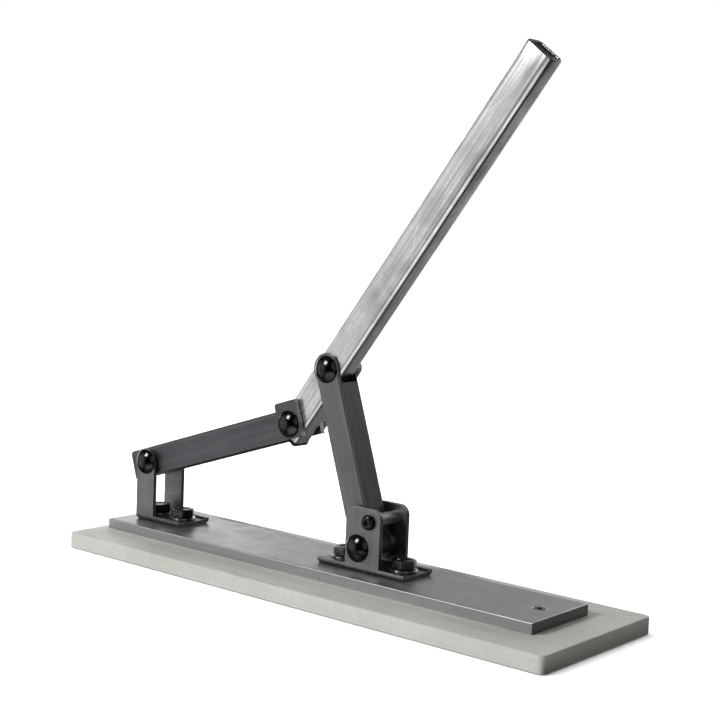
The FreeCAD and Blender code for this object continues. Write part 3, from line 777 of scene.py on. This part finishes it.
# ------------------------------------------------------------------ floor
def make_floor():
    """Flat pale paper, just under the board."""
    p = Paint("floor_paper", roughness=0.9)
    where = p.place()
    tint = p.noise(where, 3.0, 3.0)
    color = p.blend(tint, (0.86, 0.86, 0.855), (0.90, 0.90, 0.895))
    material = p.finish(color)
    bm = bmesh.new()
    rows, half, drop = 12, 6, 0.0002
    steps = [-half + 2 * half * i / rows for i in range(rows + 1)]
    grid = [[bm.verts.new((x, y, -drop)) for y in steps] for x in steps]
    for i in range(rows):
        for j in range(rows):
            bm.faces.new((grid[i][j], grid[i + 1][j], grid[i + 1][j + 1], grid[i][j + 1]))
    mesh = bpy.data.meshes.new("studio_floor")
    bm.to_mesh(mesh)
    bm.free()
    mesh.materials.append(material)
    floor = bpy.data.objects.new("studio_floor", mesh)
    bpy.context.scene.collection.objects.link(floor)
    floor.visible_glossy = False
    floor.visible_diffuse = False
    return floor


floor = make_floor()


# ------------------------------------------------------------------ light
def soft_box(name, spot, aim, size, power, color=(1, 1, 1)):
    """Rectangular lamp at a spot, turned to an aim; size in metres, power in watts."""
    lamp = bpy.data.lights.new(name, "AREA")
    lamp.shape = "RECTANGLE"
    lamp.size, lamp.size_y = size
    lamp.energy = power
    lamp.color = color
    obj = bpy.data.objects.new(name, lamp)
    bpy.context.scene.collection.objects.link(obj)
    obj.location = spot
    obj.visible_camera = False
    obj.rotation_mode = "QUATERNION"
    obj.rotation_quaternion = (Vector(spot) - Vector(aim)).to_track_quat("Z", "Y")
    return obj


# direction, cosine where the patch begins, cosine where it is full, strength; the last is even
WORLD_PATCHES = (
    ((-0.3, 0.0, 1.0), 0.3, 1.0, 0.16),
    ((-0.62, 0.77, 0.12), 0.80, 0.97, 0.58),
    ((-0.88, 0.47, 0.10), 0.90, 0.985, 3.0),
    ((-0.78, -0.62, -0.08), 0.78, 0.98, 1.4),
    ((0.18, -0.60, -0.78), 0.74, 0.94, 2.0),
    ((0.69, -0.61, 0.33), 0.84, 0.97, 0.9),
    ((0.52, 0.75, 0.42), 0.93, 0.985, 0.48),
    ((0.16, 0.77, -0.61), 0.972, 0.992, 0.40),
    ((0.05, 1.0, -0.15), 0.86, 0.98, 0.8),
    ((0.0, -1.0, 0.0), -2.0, 0.0, 0.04),
)


def make_world():
    """White backdrop for the camera; for the object, near darkness with smooth patches of light."""
    world = bpy.data.worlds.new("studio")
    bpy.context.scene.world = world
    world.use_nodes = True
    tree = world.node_tree
    tree.nodes.clear()
    out = tree.nodes.new("ShaderNodeOutputWorld")
    seen = tree.nodes.new("ShaderNodeBackground")
    seen.inputs["Color"].default_value = (1, 1, 1, 1)
    seen.inputs["Strength"].default_value = 1.0
    lit = tree.nodes.new("ShaderNodeBackground")
    path = tree.nodes.new("ShaderNodeLightPath")
    mix = tree.nodes.new("ShaderNodeMixShader")
    coord = tree.nodes.new("ShaderNodeTexCoord")

    def lobe(direction, start, end, amount):
        """Smooth patch of light round a direction, from one cosine to another."""
        dot = tree.nodes.new("ShaderNodeVectorMath")
        dot.operation = "DOT_PRODUCT"
        tree.links.new(coord.outputs["Generated"], dot.inputs[0])
        dot.inputs[1].default_value = Vector(direction).normalized()
        item = tree.nodes.new("ShaderNodeMapRange")
        item.interpolation_type = "SMOOTHSTEP"
        tree.links.new(dot.outputs["Value"], item.inputs["Value"])
        for key, number in zip(("From Min", "From Max", "To Min", "To Max"), (start, end, 0.0, amount)):
            item.inputs[key].default_value = number
        return item.outputs["Result"]

    total = None
    for patch in WORLD_PATCHES:
        light = lobe(*patch)
        if total is None:
            total = light
            continue
        add = tree.nodes.new("ShaderNodeMath")
        add.operation = "ADD"
        tree.links.new(total, add.inputs[0])
        tree.links.new(light, add.inputs[1])
        total = add.outputs["Value"]
    tree.links.new(total, lit.inputs["Strength"])
    tree.links.new(path.outputs["Is Camera Ray"], mix.inputs["Fac"])
    tree.links.new(lit.outputs["Background"], mix.inputs[1])
    tree.links.new(seen.outputs["Background"], mix.inputs[2])
    tree.links.new(mix.outputs["Shader"], out.inputs["Surface"])


make_world()
low, high = (Vector(corner) for corner in CAD_BOX)
heart = (low + high) / 2
soft_box("key", heart + Vector((-0.68, -1.42, 0.90)), heart, (0.52, 0.52), 23.5, (1.0, 0.995, 0.975))
soft_box("overhead", heart + Vector((-0.25, 0.1, 1.5)), heart, (1.2, 1.0), 0.3)
soft_box("back_fill", heart + Vector((0.0, 1.5, 0.45)), heart, (0.9, 0.7), 7.0)


def floor_sun():
    """Even wash for the floor alone, wide enough to give a faint soft shadow."""
    lamp = bpy.data.lights.new("floor_wash", "SUN")
    lamp.energy = 4.2
    lamp.angle = math.radians(70)
    sun = bpy.data.objects.new("floor_wash", lamp)
    bpy.context.scene.collection.objects.link(sun)
    sun.rotation_euler = (math.radians(12), math.radians(-18), 0)
    shared = bpy.data.collections.new("floor_lit")
    shared.objects.link(floor)
    sun.light_linking.receiver_collection = shared


floor_sun()


# ------------------------------------------------------------------ camera
def make_camera():
    """Three-quarter view from the near right, a little above the board, long lens."""
    spot = Vector((0.55397, -0.65516, 0.22292))
    turn, dip, roll = math.radians(39.61), math.radians(-5.82), math.radians(2.31)
    ahead = Vector((-math.sin(turn) * math.cos(dip), math.cos(turn) * math.cos(dip), math.sin(dip)))
    right = Vector((math.cos(turn), math.sin(turn), 0.0))
    up = right.cross(ahead)
    side = right * math.cos(roll) + up * math.sin(roll)
    rise = up * math.cos(roll) - right * math.sin(roll)
    data = bpy.data.cameras.new("camera")
    data.sensor_width = 36.0
    data.lens = 73.92
    data.clip_start, data.clip_end = 0.05, 50.0
    cam = bpy.data.objects.new("camera", data)
    bpy.context.scene.collection.objects.link(cam)
    cam.matrix_world = Matrix((
        (side.x, rise.x, -ahead.x, spot.x),
        (side.y, rise.y, -ahead.y, spot.y),
        (side.z, rise.z, -ahead.z, spot.z),
        (0, 0, 0, 1)))
    bpy.context.scene.camera = cam


make_camera()
bpy.context.scene.view_settings.view_transform = "Standard"
